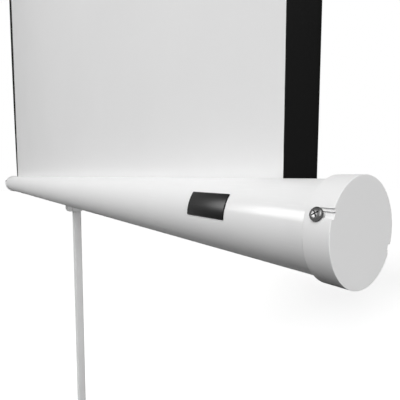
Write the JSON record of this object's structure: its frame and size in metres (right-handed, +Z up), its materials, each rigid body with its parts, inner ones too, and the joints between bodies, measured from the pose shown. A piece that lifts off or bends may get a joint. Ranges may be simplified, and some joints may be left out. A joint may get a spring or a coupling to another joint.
{
  "type": "tripod projector screen",
  "caption": "Pull-up projector screen: a white sheet with black side borders, drawn up out of a round white case that a square pole with folding tripod legs carries.",
  "frame": {"origin": "on the floor, under the middle of the outline that the feet take up front to back", "axes": "+Z up, the sheet faces -Y, the case lies along X"},
  "size_m": [1.668, 0.801, 2.7544],
  "materials": {
    "case_white": "white satin paint",
    "bar_white": "extruded, painted white",
    "plate_black": "gloss black, bare",
    "screen_sheet": "matt white with black side borders",
    "pole_grey": "light grey paint",
    "leg_black": "black powder coat",
    "bracket_grey": "mid grey paint",
    "black_plastic": "moulded, matt",
    "foot_rubber": "matt black",
    "bright_steel": "zinc plated"
  },
  "bodies": {
    "stand": {"main_pole": "pole_grey", "pole_sole_plug": "black_plastic", "brace_ring": "black_plastic", "pole_top_collar": "black_plastic", "lever_pin": "bright_steel"},
    "leg_collar_body": {"leg_collar": "black_plastic", "leg_pin_front_right": "bright_steel", "leg_pin_front_left": "bright_steel", "leg_pin_rear": "bright_steel"},
    "leg_front_right_body": {"leg_front_right": "leg_black", "foot_front_right": "foot_rubber", "brace_rivet_front_right": "bright_steel"},
    "brace_front_right_body": {"brace_front_right": "leg_black"},
    "leg_front_left_body": {"leg_front_left": "leg_black", "foot_front_left": "foot_rubber", "brace_rivet_front_left": "bright_steel"},
    "brace_front_left_body": {"brace_front_left": "leg_black"},
    "leg_rear_body": {"leg_rear": "leg_black", "foot_rear": "foot_rubber", "brace_rivet_rear": "bright_steel"},
    "brace_rear_body": {"brace_rear": "leg_black"},
    "collar_knob_body": {"collar_knob": "black_plastic"},
    "lever_body": {"extension_lever": "black_plastic"},
    "extension_body": {"extension_pole": "pole_grey", "extension_bush": "black_plastic", "extension_head": "black_plastic"},
    "slider_body": {"case_slider": "bracket_grey", "swivel_bolt": "bright_steel"},
    "slider_knob_body": {"slider_knob": "black_plastic"},
    "case_body": {"case_tube": "case_white", "case_cap_right": "case_white", "case_cap_left": "case_white", "case_saddle": "bracket_grey", "front_plate": "plate_black", "carry_handle": "black_plastic", "handle_foot_right": "black_plastic", "handle_foot_left": "black_plastic", "idle_pin": "bright_steel", "spring_shaft": "bright_steel", "roller_spring": "bright_steel", "screen_fabric": "screen_sheet", "cap_screw_right_front": "bright_steel", "cap_screw_right_back": "bright_steel", "cap_screw_left_front": "bright_steel", "cap_screw_left_back": "bright_steel"},
    "roller_body": {"roller_tube": "bar_white", "roller_plug_right": "black_plastic", "roller_plug_left": "black_plastic"},
    "top_bar_body": {"top_bar": "bar_white", "bar_cap_right": "black_plastic", "bar_cap_left": "black_plastic", "bail_bracket": "bright_steel"},
    "bail_body": {"bail": "bright_steel"}
  },
  "joints": [
    {"name": "leg_collar_slide", "type": "slide", "parent": "stand", "child": "leg_collar_body", "axis": [0, 0, 1], "range_m": [0, 0.26205]},
    {"name": "leg_front_right_fold", "type": "hinge", "parent": "leg_collar_body", "child": "leg_front_right_body", "pos_m": [0.02338, -0.14287, 0.27229], "axis": [0.5, 0.866, 0], "range_deg": [0, 62]},
    {"name": "brace_front_right_fold", "type": "hinge", "parent": "leg_front_right_body", "child": "brace_front_right_body", "pos_m": [0.21223, -0.2519, 0.15635], "axis": [0.5, 0.866, 0], "range_deg": [-124, 0]},
    {"name": "leg_front_left_fold", "type": "hinge", "parent": "leg_collar_body", "child": "leg_front_left_body", "pos_m": [-0.02338, -0.14287, 0.27229], "axis": [0.5, -0.866, 0], "range_deg": [0, 62]},
    {"name": "brace_front_left_fold", "type": "hinge", "parent": "leg_front_left_body", "child": "brace_front_left_body", "pos_m": [-0.21223, -0.2519, 0.15635], "axis": [0.5, -0.866, 0], "range_deg": [-124, 0]},
    {"name": "leg_rear_fold", "type": "hinge", "parent": "leg_collar_body", "child": "leg_rear_body", "pos_m": [0, -0.10237, 0.27229], "axis": [-1, 0, 0], "range_deg": [0, 62]},
    {"name": "brace_rear_fold", "type": "hinge", "parent": "leg_rear_body", "child": "brace_rear_body", "pos_m": [0, 0.11569, 0.15635], "axis": [-1, 0, 0], "range_deg": [-124, 0]},
    {"name": "collar_knob_turn", "type": "hinge", "parent": "leg_collar_body", "child": "collar_knob_body", "pos_m": [0.0239, -0.12937, 0.29629], "axis": [1, 0, 0], "range_deg": [0, 360]},
    {"name": "lever_turn", "type": "hinge", "parent": "stand", "child": "lever_body", "pos_m": [0, -0.10707, 1.685], "axis": [1, 0, 0], "range_deg": [0, 80]},
    {"name": "extension_slide", "type": "slide", "parent": "stand", "child": "extension_body", "axis": [0, 0, -1], "range_m": [0, 0.98]},
    {"name": "case_height", "type": "slide", "parent": "stand", "child": "slider_body", "axis": [0, 0, -1], "range_m": [-0.1, 0.26]},
    {"name": "slider_knob_turn", "type": "hinge", "parent": "slider_body", "child": "slider_knob_body", "pos_m": [0, -0.11067, 1.14], "axis": [0, 1, 0], "range_deg": [0, 360]},
    {"name": "case_swivel", "type": "hinge", "parent": "slider_body", "child": "case_body", "pos_m": [0, -0.18337, 1.14], "axis": [0, -1, 0], "range_deg": [0, 90]},
    {"name": "screen_pull", "type": "slide", "parent": "case_body", "child": "top_bar_body", "axis": [0, 0, -1], "range_m": [0, 1.5062], "deforming": ["screen_fabric"]},
    {"name": "roller_spin", "type": "hinge", "parent": "case_body", "child": "roller_body", "pos_m": [0, -0.19292, 1.14], "axis": [-1, 0, 0], "range_deg": [0, 5078]},
    {"name": "bail_turn", "type": "hinge", "parent": "top_bar_body", "child": "bail_body", "pos_m": [0, -0.17537, 2.7004], "axis": [1, 0, 0], "range_deg": [0, 120]}
  ],
  "couplings": [
    {"joint": "leg_front_right_fold", "follows": "leg_collar_slide", "rad_per_m": 4.1293},
    {"joint": "brace_front_right_fold", "follows": "leg_collar_slide", "rad_per_m": -8.2587},
    {"joint": "leg_front_left_fold", "follows": "leg_collar_slide", "rad_per_m": 4.1293},
    {"joint": "brace_front_left_fold", "follows": "leg_collar_slide", "rad_per_m": -8.2587},
    {"joint": "leg_rear_fold", "follows": "leg_collar_slide", "rad_per_m": 4.1293},
    {"joint": "brace_rear_fold", "follows": "leg_collar_slide", "rad_per_m": -8.2587},
    {"joint": "roller_spin", "follows": "screen_pull", "rad_per_m": 58.824}
  ]
}
